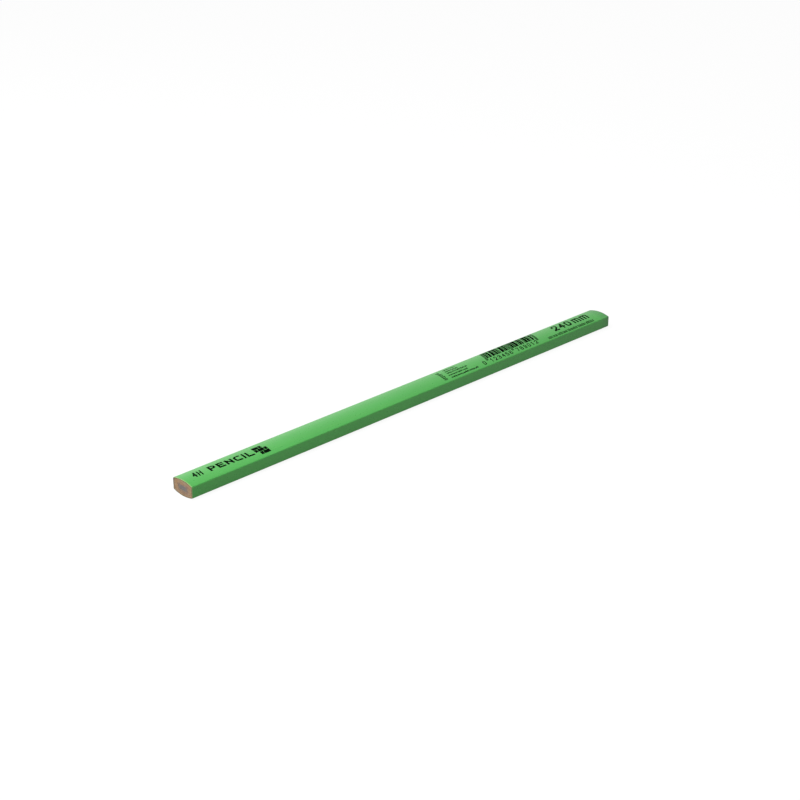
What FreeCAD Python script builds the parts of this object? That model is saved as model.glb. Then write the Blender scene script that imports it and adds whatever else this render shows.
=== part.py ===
import FreeCAD, Part
import math
import os

# Flat mason's pencil: two cedar-type slats glued round a flat marking core,
# coated with primer and green lacquer, stamped in black on one broad face.
#
# Frame, millimetres: +X runs along the pencil from the stamped grade mark,
# +Y across the broad face, +Z up through the stamped face. The origin is the
# middle of the bottom.

os.makedirs("parts", exist_ok=True)

V = FreeCAD.Vector

# ---------------------------------------------------------------- dimensions
LENGTH = 240.0        # end to end
WIDTH = 11.3          # across the broad faces
THICK = 6.65          # over both crowned faces
CROWN = 0.95          # rise of each broad face over its width
EDGE_R = 0.50         # rounding of the four long edges
LACQUER_T = 0.09      # green top coats
PRIMER_T = 0.05       # filler coat under the green
CORE_W = 5.0          # flat core, across
CORE_T = 2.0          # flat core, through
CORE_R = 0.30         # its corner rounding
GLUE_T = 0.06         # adhesive film
INK_T = 0.03          # stamped ink above the lacquer

HALF = LENGTH / 2.0
MID_Z = THICK / 2.0
PAINT_T = LACQUER_T + PRIMER_T
CROWN_R = (WIDTH * WIDTH / 4.0 + CROWN * CROWN) / (2.0 * CROWN)
AXIS_DROP = CROWN_R - MID_Z          # crown axis lies this far past mid height


# ------------------------------------------------------------ cross-sections
def body_wire(inset):
    """Closed outline of the crowned oblong, inset evenly, in the plane X = -HALF."""
    half_w = WIDTH / 2.0 - inset
    r_crown = CROWN_R - inset
    r_edge = EDGE_R - inset
    cy = WIDTH / 2.0 - EDGE_R                       # edge-rounding centre
    reach = math.sqrt((CROWN_R - EDGE_R) ** 2 - cy * cy)
    cz = reach - AXIS_DROP                          # above mid height
    ang = math.atan2(reach, cy)                     # direction of the crown tangent point
    ty = r_crown * math.cos(ang)
    tz = r_crown * math.sin(ang) - AXIS_DROP
    mid = (ang + 0.0) / 2.0
    my = cy + r_edge * math.cos(mid)
    mz = cz + r_edge * math.sin(mid)
    top = r_crown - AXIS_DROP

    def p(y, z):
        return V(-HALF, y, MID_Z + z)

    edges = [
        Part.Arc(p(-ty, tz), p(0, top), p(ty, tz)).toShape(),
        Part.Arc(p(ty, tz), p(my, mz), p(half_w, cz)).toShape(),
        Part.LineSegment(p(half_w, cz), p(half_w, -cz)).toShape(),
        Part.Arc(p(half_w, -cz), p(my, -mz), p(ty, -tz)).toShape(),
        Part.Arc(p(ty, -tz), p(0, -top), p(-ty, -tz)).toShape(),
        Part.Arc(p(-ty, -tz), p(-my, -mz), p(-half_w, -cz)).toShape(),
        Part.LineSegment(p(-half_w, -cz), p(-half_w, cz)).toShape(),
        Part.Arc(p(-half_w, cz), p(-my, mz), p(-ty, tz)).toShape(),
    ]
    return Part.Wire(edges)


def oblong_wire(width, height, radius):
    """Rounded rectangle round the core's axis, in the plane X = -HALF."""
    a, b, r = width / 2.0, height / 2.0, radius
    k = r * (1.0 - math.sqrt(0.5))

    def p(y, z):
        return V(-HALF, y, MID_Z + z)

    edges = [
        Part.LineSegment(p(-a + r, b), p(a - r, b)).toShape(),
        Part.Arc(p(a - r, b), p(a - k, b - k), p(a, b - r)).toShape(),
        Part.LineSegment(p(a, b - r), p(a, -b + r)).toShape(),
        Part.Arc(p(a, -b + r), p(a - k, -b + k), p(a - r, -b)).toShape(),
        Part.LineSegment(p(a - r, -b), p(-a + r, -b)).toShape(),
        Part.Arc(p(-a + r, -b), p(-a + k, -b + k), p(-a, -b + r)).toShape(),
        Part.LineSegment(p(-a, -b + r), p(-a, b - r)).toShape(),
        Part.Arc(p(-a, b - r), p(-a + k, b - k), p(-a + r, b)).toShape(),
    ]
    return Part.Wire(edges)


def bar(wire):
    """Full-length solid on a cross-section."""
    return Part.Face(wire).extrude(V(LENGTH, 0, 0))


def tube(outer, inner):
    """Full-length solid between two cross-sections."""
    return bar(outer).cut(bar(inner))


def slab(y0, y1, z0, z1):
    """Full-length box from mid height, for splitting the wood."""
    return Part.makeBox(LENGTH, y1 - y0, z1 - z0, V(-HALF, y0, MID_Z + z0))


# ------------------------------------------------------- wood, core and glue
core = bar(oblong_wire(CORE_W, CORE_T, CORE_R))
groove = bar(oblong_wire(CORE_W + 2 * GLUE_T, CORE_T + 2 * GLUE_T, CORE_R + GLUE_T))
bond = tube(
    oblong_wire(CORE_W + 2 * GLUE_T, CORE_T + 2 * GLUE_T, CORE_R + GLUE_T),
    oblong_wire(CORE_W, CORE_T, CORE_R),
)
wood = bar(body_wire(PAINT_T))
film = GLUE_T / 2.0
upper = wood.common(slab(-WIDTH, WIDTH, film, THICK)).cut(groove)
lower = wood.common(slab(-WIDTH, WIDTH, -THICK, -film)).cut(groove)
seams = wood.common(slab(-WIDTH, WIDTH, -film, film)).cut(groove)
seam_right, seam_left = sorted(seams.Solids, key=lambda s: s.CenterOfMass.y)

primer = tube(body_wire(LACQUER_T), body_wire(PAINT_T))
lacquer = tube(body_wire(0.0), body_wire(LACQUER_T))


# ------------------------------------------------------------- stamped marks
def rounded(points, radius, closed, steps=3):
    """The same polyline with its corners turned into short arcs."""
    out = []
    n = len(points)
    for i, (x, y) in enumerate(points):
        if not closed and i in (0, n - 1):
            out.append((x, y))
            continue
        ax, ay = points[i - 1]
        bx, by = points[(i + 1) % n]
        ux, uy, vx, vy = ax - x, ay - y, bx - x, by - y
        lu, lv = math.hypot(ux, uy), math.hypot(vx, vy)
        ux, uy, vx, vy = ux / lu, uy / lu, vx / lv, vy / lv
        r = min(radius, 0.49 * lu, 0.49 * lv)
        for k in range(steps + 1):
            t = k / float(steps)
            a, b, c = (1 - t) ** 2, 2 * t * (1 - t), t * t
            out.append((x + r * (a * ux + c * vx), y + r * (a * uy + c * vy)))
        del b
    return out


def stroke(points, pen, closed):
    """Outline loops of a pen stroke of even width along a polyline."""
    n = len(points)
    left, right = [], []
    h = pen / 2.0
    for i in range(n):
        x, y = points[i]
        if closed or 0 < i < n - 1:
            ax, ay = points[i - 1]
            bx, by = points[(i + 1) % n]
            d1 = math.hypot(x - ax, y - ay)
            d2 = math.hypot(bx - x, by - y)
            n1 = (-(y - ay) / d1, (x - ax) / d1)
            n2 = (-(by - y) / d2, (bx - x) / d2)
            mx, my = n1[0] + n2[0], n1[1] + n2[1]
            m = mx * mx + my * my
            k = min(2.0 / m, 4.0 / math.sqrt(m) if m > 0 else 2.0)
            ox, oy = mx * k * h, my * k * h
        else:
            j = 1 if i == 0 else n - 1
            d = math.hypot(points[j][0] - points[j - 1][0], points[j][1] - points[j - 1][1])
            ox = -(points[j][1] - points[j - 1][1]) / d * h
            oy = (points[j][0] - points[j - 1][0]) / d * h
        left.append((x + ox, y + oy))
        right.append((x - ox, y - oy))
    if closed:
        return [left, right]
    return [left + right[::-1]]


# Plain block characters on a unit cell: strokes are (closed, corner radius, points).
GLYPHS = {
    "0": [(1, 0.30, [(0, 0), (1, 0), (1, 1), (0, 1)])],
    "1": [(0, 0.0, [(0.15, 0.76), (0.55, 1), (0.55, 0)])],
    "2": [(0, 0.22, [(0, 0.70), (0, 1), (1, 1), (1, 0.55), (0.04, 0.0)]), (0, 0.0, [(0, 0), (1, 0)])],
    "3": [(0, 0.22, [(0, 0.82), (0, 1), (0.95, 1), (0.95, 0.53), (0.35, 0.53)]),
          (0, 0.22, [(0.4, 0.53), (1, 0.53), (1, 0), (0, 0), (0, 0.18)])],
    "4": [(0, 0.0, [(0.74, 0), (0.74, 1)]), (0, 0.0, [(0.74, 0.98), (0.0, 0.30), (1.0, 0.30)])],
    "5": [(0, 0.0, [(0.94, 1), (0.08, 1), (0.08, 0.56)]),
          (0, 0.26, [(0.0, 0.58), (1, 0.58), (1, 0), (0, 0), (0, 0.2)])],
    "6": [(1, 0.24, [(0, 0), (1, 0), (1, 0.56), (0, 0.56)]),
          (0, 0.30, [(0, 0.30), (0, 1), (0.92, 1), (0.92, 0.86)])],
    "7": [(0, 0.0, [(0, 1), (1, 1), (0.35, 0)])],
    "8": [(1, 0.22, [(0, 0), (1, 0), (1, 0.53), (0, 0.53)]),
          (1, 0.22, [(0.06, 0.53), (0.94, 0.53), (0.94, 1), (0.06, 1)])],
    "9": [(1, 0.24, [(0, 0.44), (1, 0.44), (1, 1), (0, 1)]),
          (0, 0.30, [(1, 0.70), (1, 0), (0.08, 0), (0.08, 0.14)])],
    "C": [(0, 0.30, [(1, 1), (0, 1), (0, 0), (1, 0)])],
    "E": [(0, 0.0, [(1, 0), (0, 0), (0, 1), (1, 1)]), (0, 0.0, [(0, 0.51), (0.86, 0.51)])],
    "H": [(0, 0.0, [(0, 0), (0, 1)]), (0, 0.0, [(1, 0), (1, 1)]), (0, 0.0, [(0, 0.5), (1, 0.5)])],
    "I": [(0, 0.0, [(0.5, 0), (0.5, 1)])],
    "L": [(0, 0.0, [(0, 1), (0, 0), (1, 0)])],
    "N": [(0, 0.0, [(0, 0), (0, 1)]), (0, 0.0, [(0, 0.96), (1, 0.04)]), (0, 0.0, [(1, 0), (1, 1)])],
    "P": [(0, 0.0, [(0, 0), (0, 1)]), (0, 0.26, [(0, 1), (1, 1), (1, 0.44), (0, 0.44)])],
    "m": [(0, 0.0, [(0, 0), (0, 0.84)]), (0, 0.14, [(0, 0.84), (0.5, 0.84), (0.5, 0)]),
          (0, 0.14, [(0.48, 0.84), (1, 0.84), (1, 0)])],
}


def flat_face(loops, lean):
    """Planar face from an outer loop and any holes, leaned over along X. A lean
    of three numbers also gives how fast the line of print falls, and from where."""
    tilt, fall, start = lean if isinstance(lean, tuple) else (lean, 0.0, 0.0)
    wires = []
    for loop in loops:
        pts = [V(x + tilt * y, y + fall * (x - start), 0) for x, y in loop]
        wires.append(Part.makePolygon(pts + [pts[0]]))
    wires.sort(key=lambda w: -w.BoundBox.DiagonalLength)
    face = Part.Face(wires[0])
    if len(wires) > 1:
        face = face.cut(Part.Face(wires[1])).Faces[0]
    return face


def tidy(face):
    """The face without the slivers left in the crotch between two strokes."""
    wires = sorted(face.Wires, key=lambda w: -w.BoundBox.DiagonalLength)
    out = Part.Face(wires[0])
    for hole in wires[1:]:
        if hole.Length > 0.3:
            out = out.cut(Part.Face(hole)).Faces[0]
    return out


def glyph(char, x0, y0, width, height, pen, lean):
    """Flat face of one character with its lower left corner at x0, y0."""
    faces = []
    for closed, radius, points in GLYPHS[char]:
        path = [(x0 + pen / 2 + px * (width - pen), y0 + pen / 2 + py * (height - pen)) for px, py in points]
        if not closed:                       # butt ends reach the full letter height
            for end, nxt in ((0, 1), (-1, -2)):
                dx, dy = path[end][0] - path[nxt][0], path[end][1] - path[nxt][1]
                d = math.hypot(dx, dy)
                path[end] = (path[end][0] + dx / d * pen / 2, path[end][1] + dy / d * pen / 2)
        if radius:
            path = rounded(path, radius * min(width, height), bool(closed))
        faces.append(flat_face(stroke(path, pen, bool(closed)), lean))
    shape = faces[0]
    if len(faces) > 1:
        shape = faces[0].multiFuse(faces[1:]).removeSplitter()
    return [tidy(face) for face in shape.Faces]


def rect(x0, x1, y0, y1, lean):
    return [flat_face([[(x0, y0), (x1, y0), (x1, y1), (x0, y1)]], lean)]


def stamped(faces):
    """Ink film of the given flat shapes, following the crown of the broad face."""
    solids = []
    for face in faces:
        box = face.BoundBox
        length = box.XLength + 2.0
        base, centre = V(box.XMin - 1.0, 0, MID_Z - AXIS_DROP), V(1, 0, 0)
        prism = face.copy()
        prism.translate(V(0, 0, THICK - 2.5))
        prism = prism.extrude(V(0, 0, 4.0))
        outer = Part.makeCylinder(CROWN_R + INK_T, length, base, centre)
        inner = Part.makeCylinder(CROWN_R, length, base, centre)
        solids.extend(prism.common(outer).cut(inner).Solids)
    return Part.makeCompound(solids)


# Hardness grade.
GRADE = "4H"
FALL = -0.035                                   # the first line of print runs slightly downhill
GRADE_H, GRADE_W, GRADE_PEN, GRADE_LEAN = 3.75, 1.95, 0.58, (0.17, FALL, -113.0)
grade_faces = []
for i, ch in enumerate(GRADE):
    grade_faces += glyph(ch, -115.25 + i * 2.40, -1.80, GRADE_W, GRADE_H, GRADE_PEN, GRADE_LEAN)

# Plain word for the kind of tool.
WORD = "PENCIL"
WORD_H, WORD_W, WORD_PEN, WORD_GAP, WORD_LEAN = 3.65, 3.15, 0.88, 0.78, (0.07, FALL, -107.7)
word_faces = []
x = -107.7
for ch in WORD:
    w = WORD_PEN if ch == "I" else WORD_W
    word_faces += glyph(ch, x, -1.80, w, WORD_H, WORD_PEN * (0.999 if ch == "I" else 1.0), WORD_LEAN)
    x += w + WORD_GAP

# Plain brick wall, racked back at its ends: three courses in running bond.
BRICK_L, BRICK_H, JOINT, DEVICE_X, DEVICE_Y, DEVICE_LEAN = 2.86, 1.92, 0.16, -86.2, -3.85, 0.09
HALF_L = (BRICK_L - JOINT) / 2.0
WALL = 2 * BRICK_L + JOINT
COURSES = [
    [(HALF_L + JOINT, BRICK_L), (BRICK_L + JOINT, WALL)],
    [(0, HALF_L), (HALF_L + JOINT, HALF_L + JOINT + BRICK_L), (WALL - HALF_L, WALL)],
    [(0, BRICK_L), (BRICK_L + JOINT, BRICK_L + JOINT + HALF_L)],
]
brick_faces = []
for row, runs in enumerate(COURSES):
    y0 = DEVICE_Y + row * (BRICK_H + JOINT)
    for a, b in runs:
        brick_faces += rect(DEVICE_X + a, DEVICE_X + b, y0, y0 + BRICK_H, DEVICE_LEAN)

# Small print: a block of short rules in place of words.
RULE_T, RULE_LEAN = 0.62, 0.14
side_faces = []
for row, w in enumerate([2.1, 1.5, 2.2, 1.8, 2.0, 1.4, 2.1]):
    y0 = -4.2 + row * 1.06
    side_faces += rect(14.2, 14.2 + w, y0, y0 + 0.76, RULE_LEAN)
LINES = [
    (2.60, 19.0, [1.8, 1.2, 2.1, 1.4]),
    (0.90, 18.7, [1.5, 2.1, 1.2, 1.7]),
    (-0.85, 18.6, [2.6, 1.1, 1.9, 2.3, 1.4, 1.2]),
    (-2.60, 18.1, [1.3, 2.2, 2.9, 1.2, 2.3]),
    (-4.35, 18.3, [2.4, 1.6, 1.1, 2.7, 1.9, 1.3, 2.9]),
]
line_faces = []
for y0, x, runs in LINES:
    for run in runs:
        line_faces += rect(x, x + run, y0, y0 + RULE_T, RULE_LEAN)
        x += run + 0.36

# Ruled bar block of made-up widths with counting digits below it.
MODULE, GAIN, BARS_X, BARS_LEAN = 0.3526, 0.11, 41.9, 0.40
BARS_Y0, BARS_Y1, GUARD_Y0 = -1.25, 5.12, -2.75
PATTERN = [
    (0, 1), (2, 1), (4, 2), (7, 1), (9, 3), (14, 4), (19, 1), (21, 3), (25, 2), (28, 1), (31, 4), (36, 1),
    (38, 3), (42, 1), (44, 1), (46, 1), (48, 1), (50, 3), (54, 2), (57, 4), (63, 1), (65, 3), (69, 2), (73, 1),
    (75, 4), (80, 3), (84, 1), (87, 3), (92, 1), (94, 1),
]
GUARDS = {0, 2, 46, 48, 92, 94}
bar_faces = []
for start, count in PATTERN:
    low = GUARD_Y0 if start in GUARDS else BARS_Y0
    bar_faces += rect(BARS_X + start * MODULE, BARS_X + (start + count) * MODULE + GAIN, low, BARS_Y1, BARS_LEAN)

DIGIT_H, DIGIT_W, DIGIT_PEN, DIGIT_LEAN, DIGIT_Y = 2.50, 1.60, 0.42, 0.15, -4.52
digit_faces = glyph("0", 38.35, DIGIT_Y, DIGIT_W, DIGIT_H, DIGIT_PEN, DIGIT_LEAN)
for i, ch in enumerate("123456"):
    digit_faces += glyph(ch, 43.0 + i * 2.43, DIGIT_Y, DIGIT_W, DIGIT_H, DIGIT_PEN, DIGIT_LEAN)
for i, ch in enumerate("789012"):
    digit_faces += glyph(ch, 59.6 + i * 2.43, DIGIT_Y, DIGIT_W, DIGIT_H, DIGIT_PEN, DIGIT_LEAN)

# Length in millimetres, and one plain row of rules under it.
SIZE_H, SIZE_W, SIZE_PEN, SIZE_GAP, SIZE_LEAN = 5.0, 3.40, 0.92, 0.90, 0.28
size_faces = []
x = 87.6
for ch in "240":
    size_faces += glyph(ch, x, -1.65, SIZE_W, SIZE_H, SIZE_PEN, SIZE_LEAN)
    x += SIZE_W + SIZE_GAP
x += 0.8
for ch in "mm":
    size_faces += glyph(ch, x, -1.65, 4.6, SIZE_H, SIZE_PEN * 0.98, SIZE_LEAN)
    x += 4.6 + SIZE_GAP

foot_faces = []
x = 80.3
for run in [2.2, 1.5, 2.9, 1.8, 3.1, 1.4, 2.6, 2.0, 3.3, 1.7, 2.4, 1.9, 1.4]:
    foot_faces += rect(x, x + run, -4.95, -3.40, 0.20)
    x += run + 0.28

NODES = {
    "upper_slat": upper,
    "lower_slat": lower,
    "graphite_core": core,
    "core_glue_film": bond,
    "seam_glue_left": seam_left,
    "seam_glue_right": seam_right,
    "primer_coat": primer,
    "green_lacquer": lacquer,
    "stamp_grade": stamped(grade_faces),
    "stamp_word": stamped(word_faces),
    "stamp_device": stamped(brick_faces),
    "stamp_side_block": stamped(side_faces),
    "stamp_small_lines": stamped(line_faces),
    "stamp_bars": stamped(bar_faces),
    "stamp_digits": stamped(digit_faces),
    "stamp_length": stamped(size_faces),
    "stamp_foot_line": stamped(foot_faces),
}

for name, shape in NODES.items():
    if len(shape.Solids) == 1:
        shape = shape.Solids[0]
    shape.exportStep("parts/%s.step" % name)
    print("%-18s solids %3d  volume %10.4f mm3  valid %s" % (name, len(shape.Solids), shape.Volume, shape.isValid()))
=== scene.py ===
import math

import bpy
import numpy as np
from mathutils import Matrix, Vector


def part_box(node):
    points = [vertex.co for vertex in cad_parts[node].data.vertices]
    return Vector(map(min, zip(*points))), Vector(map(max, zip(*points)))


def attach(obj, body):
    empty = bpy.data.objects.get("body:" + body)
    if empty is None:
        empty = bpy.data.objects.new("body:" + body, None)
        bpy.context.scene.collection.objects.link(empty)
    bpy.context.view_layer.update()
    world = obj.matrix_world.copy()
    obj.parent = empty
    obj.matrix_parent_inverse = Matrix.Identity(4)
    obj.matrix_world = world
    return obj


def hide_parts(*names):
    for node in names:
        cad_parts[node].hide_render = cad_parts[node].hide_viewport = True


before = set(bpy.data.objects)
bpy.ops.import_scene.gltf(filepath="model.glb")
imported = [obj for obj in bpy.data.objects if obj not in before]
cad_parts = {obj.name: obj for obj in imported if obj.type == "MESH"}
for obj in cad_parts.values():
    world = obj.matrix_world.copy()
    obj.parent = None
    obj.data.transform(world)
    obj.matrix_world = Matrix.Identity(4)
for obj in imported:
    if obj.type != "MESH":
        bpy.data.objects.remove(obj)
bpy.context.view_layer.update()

MM = 0.001

# ------------------------------------------------------------------ the frame
box_lo, box_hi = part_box("green_lacquer")
core_lo, core_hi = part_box("graphite_core")
LENGTH = (box_hi[0] - box_lo[0]) / MM
WIDTH = (box_hi[1] - box_lo[1]) / MM
THICK = (box_hi[2] - box_lo[2]) / MM
CORE_W = (core_hi[1] - core_lo[1]) / MM
CORE_T = (core_hi[2] - core_lo[2]) / MM
HALF = LENGTH / 2
MID_Z = (box_lo[2] + box_hi[2]) / 2 / MM
CROWN = 0.95
EDGE_R = 0.50
LACQUER_T = 0.09
PRIMER_T = 0.05
PAINT_T = LACQUER_T + PRIMER_T
CORE_R = 0.30
GLUE_T = 0.06
CROWN_R = (WIDTH * WIDTH / 4 + CROWN * CROWN) / (2 * CROWN)
AXIS_DROP = CROWN_R - THICK / 2


# ---------------------------------------------------------------- small noise
def lattice(seed):
    return np.random.RandomState(seed).rand(256, 256) * 2 - 1


TABLES = {}


def vnoise(u, v, seed):
    """Smooth value noise in -1..1 on arrays u, v."""
    if seed not in TABLES:
        TABLES[seed] = lattice(seed)
    t = TABLES[seed]
    u, v = np.broadcast_arrays(np.asarray(u, float), np.asarray(v, float))
    iu, iv = np.floor(u).astype(int), np.floor(v).astype(int)
    fu, fv = u - iu, v - iv
    fu, fv = fu * fu * (3 - 2 * fu), fv * fv * (3 - 2 * fv)
    a, b = t[iu % 256, iv % 256], t[(iu + 1) % 256, iv % 256]
    c, d = t[iu % 256, (iv + 1) % 256], t[(iu + 1) % 256, (iv + 1) % 256]
    return (a * (1 - fu) + b * fu) * (1 - fv) + (c * (1 - fu) + d * fu) * fv


def fbm(u, v, seed, octaves=3):
    out, amp, tot = 0.0, 1.0, 0.0
    for k in range(octaves):
        out = out + amp * vnoise(np.asarray(u) * 2 ** k, np.asarray(v) * 2 ** k, seed + k)
        tot += amp
        amp *= 0.5
    return out / tot


def smooth(a, b, x):
    t = np.clip((np.asarray(x, float) - a) / (b - a), 0, 1)
    return t * t * (3 - 2 * t)


# ------------------------------------------------------------- cross-sections
def body_ring(inset, per_crown=60, per_edge=9, per_side=20):
    """Points y, z and outward normals round the crowned oblong, from the top
    middle towards +Y, with the arc length from the top middle."""
    half_w = WIDTH / 2 - inset
    cy = WIDTH / 2 - EDGE_R
    reach = math.sqrt((CROWN_R - EDGE_R) ** 2 - cy * cy)
    cz = reach - AXIS_DROP
    phi = math.atan2(reach, cy)
    pts, nrm = [], []

    def arc(oy, oz, r, a0, a1, n):
        for k in range(n):
            a = a0 + (a1 - a0) * k / n
            pts.append((oy + r * math.cos(a), oz + r * math.sin(a)))
            nrm.append((math.cos(a), math.sin(a)))

    def line(y, z0, z1, side, n):
        for k in range(n):
            pts.append((y, z0 + (z1 - z0) * k / n))
            nrm.append((side, 0.0))

    h = math.pi / 2
    arc(0, -AXIS_DROP, CROWN_R - inset, h, phi, per_crown // 2)
    arc(cy, cz, EDGE_R - inset, phi, 0, per_edge)
    line(half_w, cz, -cz, 1.0, per_side)
    arc(cy, -cz, EDGE_R - inset, 0, -phi, per_edge)
    arc(0, AXIS_DROP, CROWN_R - inset, -phi, -h, per_crown // 2)
    arc(0, AXIS_DROP, CROWN_R - inset, -h, -math.pi + phi, per_crown // 2)
    arc(-cy, -cz, EDGE_R - inset, -math.pi + phi, -math.pi, per_edge)
    line(-half_w, -cz, cz, -1.0, per_side)
    arc(-cy, cz, EDGE_R - inset, math.pi, math.pi - phi, per_edge)
    arc(0, -AXIS_DROP, CROWN_R - inset, math.pi - phi, h, per_crown // 2)
    pts, nrm = np.array(pts), np.array(nrm)
    step = np.hypot(*(np.roll(pts, -1, 0) - pts).T)
    return pts, nrm, np.concatenate([[0], np.cumsum(step)[:-1]]), step.sum()


RING, RING_N, RING_S, RING_LEN = body_ring(0.0)


def oblong_ring(width, height, radius, per_corner=7, per_long=44, per_short=16):
    """Points of a rounded rectangle round the core's axis, anticlockwise."""
    a, b, r = width / 2, height / 2, radius
    out = []

    def arc(oy, oz, a0):
        for k in range(per_corner):
            t = a0 + math.pi / 2 * k / per_corner
            out.append((oy + r * math.cos(t), oz + r * math.sin(t)))

    def line(p, q, n):
        for k in range(n):
            out.append((p[0] + (q[0] - p[0]) * k / n, p[1] + (q[1] - p[1]) * k / n))

    line((a, -b + r), (a, b - r), per_short)
    arc(a - r, b - r, 0)
    line((a - r, b), (-a + r, b), per_long)
    arc(-a + r, b - r, math.pi / 2)
    line((-a, b - r), (-a, -b + r), per_short)
    arc(-a + r, -b + r, math.pi)
    line((-a + r, -b), (a - r, -b), per_long)
    arc(a - r, -b + r, -math.pi / 2)
    return np.array(out)


# ------------------------------------------------------------------- helpers
def mesh_object(name, verts, faces, mat, smooth_shade=True, sharp_deg=35):
    """A mesh object from millimetre points."""
    me = bpy.data.meshes.new(name)
    me.from_pydata((np.asarray(verts) * MM).tolist(), [], [list(map(int, f)) for f in faces])
    me.validate()
    me.update()
    ob = bpy.data.objects.new(name, me)
    bpy.context.scene.collection.objects.link(ob)
    ob.data.materials.append(mat)
    if smooth_shade:
        me.shade_smooth()
        me.set_sharp_from_angle(angle=math.radians(sharp_deg))
    return ob


def set_attr(ob, name, values):
    at = ob.data.attributes.new(name=name, type="FLOAT", domain="POINT")
    at.data.foreach_set("value", np.asarray(values, dtype=np.float32))


def prism(name, cap, quads, near, far, mat, attrs=None, sharp=35):
    """Full-length closed solid with shaped end caps: cap is an array of y, z
    (z from mid height), quads the cap's faces seen from -X, near and far the
    depths of its points behind the end planes."""
    n = len(cap)
    z = cap[:, 1] + MID_Z
    a = np.column_stack([-HALF + near, cap[:, 0], z])
    b = np.column_stack([HALF - far, cap[:, 0], z])
    faces = [tuple(q) for q in quads]
    faces += [tuple(i + n for i in reversed(q)) for q in quads]
    count = {}
    for q in quads:
        for i in range(len(q)):
            e = (q[i], q[(i + 1) % len(q)])
            if (e[1], e[0]) in count:
                count.pop((e[1], e[0]))
            else:
                count[e] = True
    for i, j in count:
        faces.append((j, i, i + n, j + n))
    ob = mesh_object(name, np.vstack([a, b]), faces, mat, sharp_deg=sharp)
    for key, (va, vb) in (attrs or {}).items():
        set_attr(ob, key, np.concatenate([va, vb]))
    return ob


# ------------------------------------------------------------ node materials
class Nodes:
    """Short calls for building a node tree."""

    def __init__(self, name):
        self.mat = bpy.data.materials.new(name)
        self.mat.use_nodes = True
        self.t = self.mat.node_tree
        self.bsdf = self.t.nodes["Principled BSDF"]
        self.obj = self.new("ShaderNodeTexCoord").outputs["Object"]

    def new(self, kind, **props):
        n = self.t.nodes.new(kind)
        for k, v in props.items():
            setattr(n, k, v)
        return n

    def link(self, a, b):
        self.t.links.new(a, b)

    def scaled(self, scale, loc=(0, 0, 0), rot=(0, 0, 0)):
        m = self.new("ShaderNodeMapping")
        m.inputs["Scale"].default_value = scale
        m.inputs["Location"].default_value = loc
        m.inputs["Rotation"].default_value = rot
        self.link(self.obj, m.inputs["Vector"])
        return m.outputs["Vector"]

    def noise(self, vec, scale=1.0, detail=3.0, rough=0.55, distort=0.0):
        n = self.new("ShaderNodeTexNoise")
        n.inputs["Scale"].default_value = scale
        n.inputs["Detail"].default_value = detail
        n.inputs["Roughness"].default_value = rough
        n.inputs["Distortion"].default_value = distort
        self.link(vec, n.inputs["Vector"])
        return n.outputs["Fac"]

    def ramp(self, fac, stops, interp="LINEAR"):
        r = self.new("ShaderNodeValToRGB")
        r.color_ramp.interpolation = interp
        el = r.color_ramp.elements
        while len(el) < len(stops):
            el.new(0.5)
        for e, (p, c) in zip(el, stops):
            e.position = p
            e.color = (c, c, c, 1) if isinstance(c, (int, float)) else (*c, 1)
        self.link(fac, r.inputs["Fac"])
        return r.outputs["Color"]

    def mix(self, fac, a, b, blend="MIX"):
        m = self.new("ShaderNodeMix", data_type="RGBA", blend_type=blend)
        for sock, val in ((m.inputs[0], fac), (m.inputs[6], a), (m.inputs[7], b)):
            if isinstance(val, (int, float)):
                sock.default_value = val
            elif isinstance(val, tuple):
                sock.default_value = (*val, 1)
            else:
                self.link(val, sock)
        return m.outputs[2]

    def math(self, op, a, b=0.0, c=0.0, clamp=False):
        m = self.new("ShaderNodeMath", operation=op, use_clamp=clamp)
        for sock, val in zip(m.inputs, (a, b, c)):
            if isinstance(val, (int, float)):
                sock.default_value = val
            else:
                self.link(val, sock)
        return m.outputs[0]

    def remap(self, v, a, b, c, d):
        m = self.new("ShaderNodeMapRange")
        m.inputs["From Min"].default_value = a
        m.inputs["From Max"].default_value = b
        m.inputs["To Min"].default_value = c
        m.inputs["To Max"].default_value = d
        self.link(v, m.inputs["Value"])
        return m.outputs["Result"]

    def axis(self, name):
        s = self.new("ShaderNodeSeparateXYZ")
        self.link(self.obj, s.inputs["Vector"])
        return s.outputs[name]

    def attr(self, name):
        a = self.new("ShaderNodeAttribute", attribute_name=name)
        return a.outputs["Fac"]

    def bump(self, height, strength, distance, normal=None):
        b = self.new("ShaderNodeBump")
        b.inputs["Strength"].default_value = strength
        b.inputs["Distance"].default_value = distance
        self.link(height, b.inputs["Height"])
        if normal is not None:
            self.link(normal, b.inputs["Normal"])
        return b.outputs["Normal"]

    def set(self, socket, value):
        s = self.bsdf.inputs[socket]
        if isinstance(value, (int, float)):
            s.default_value = value
        elif isinstance(value, tuple):
            s.default_value = (*value, 1)
        else:
            self.link(value, s)


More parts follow.
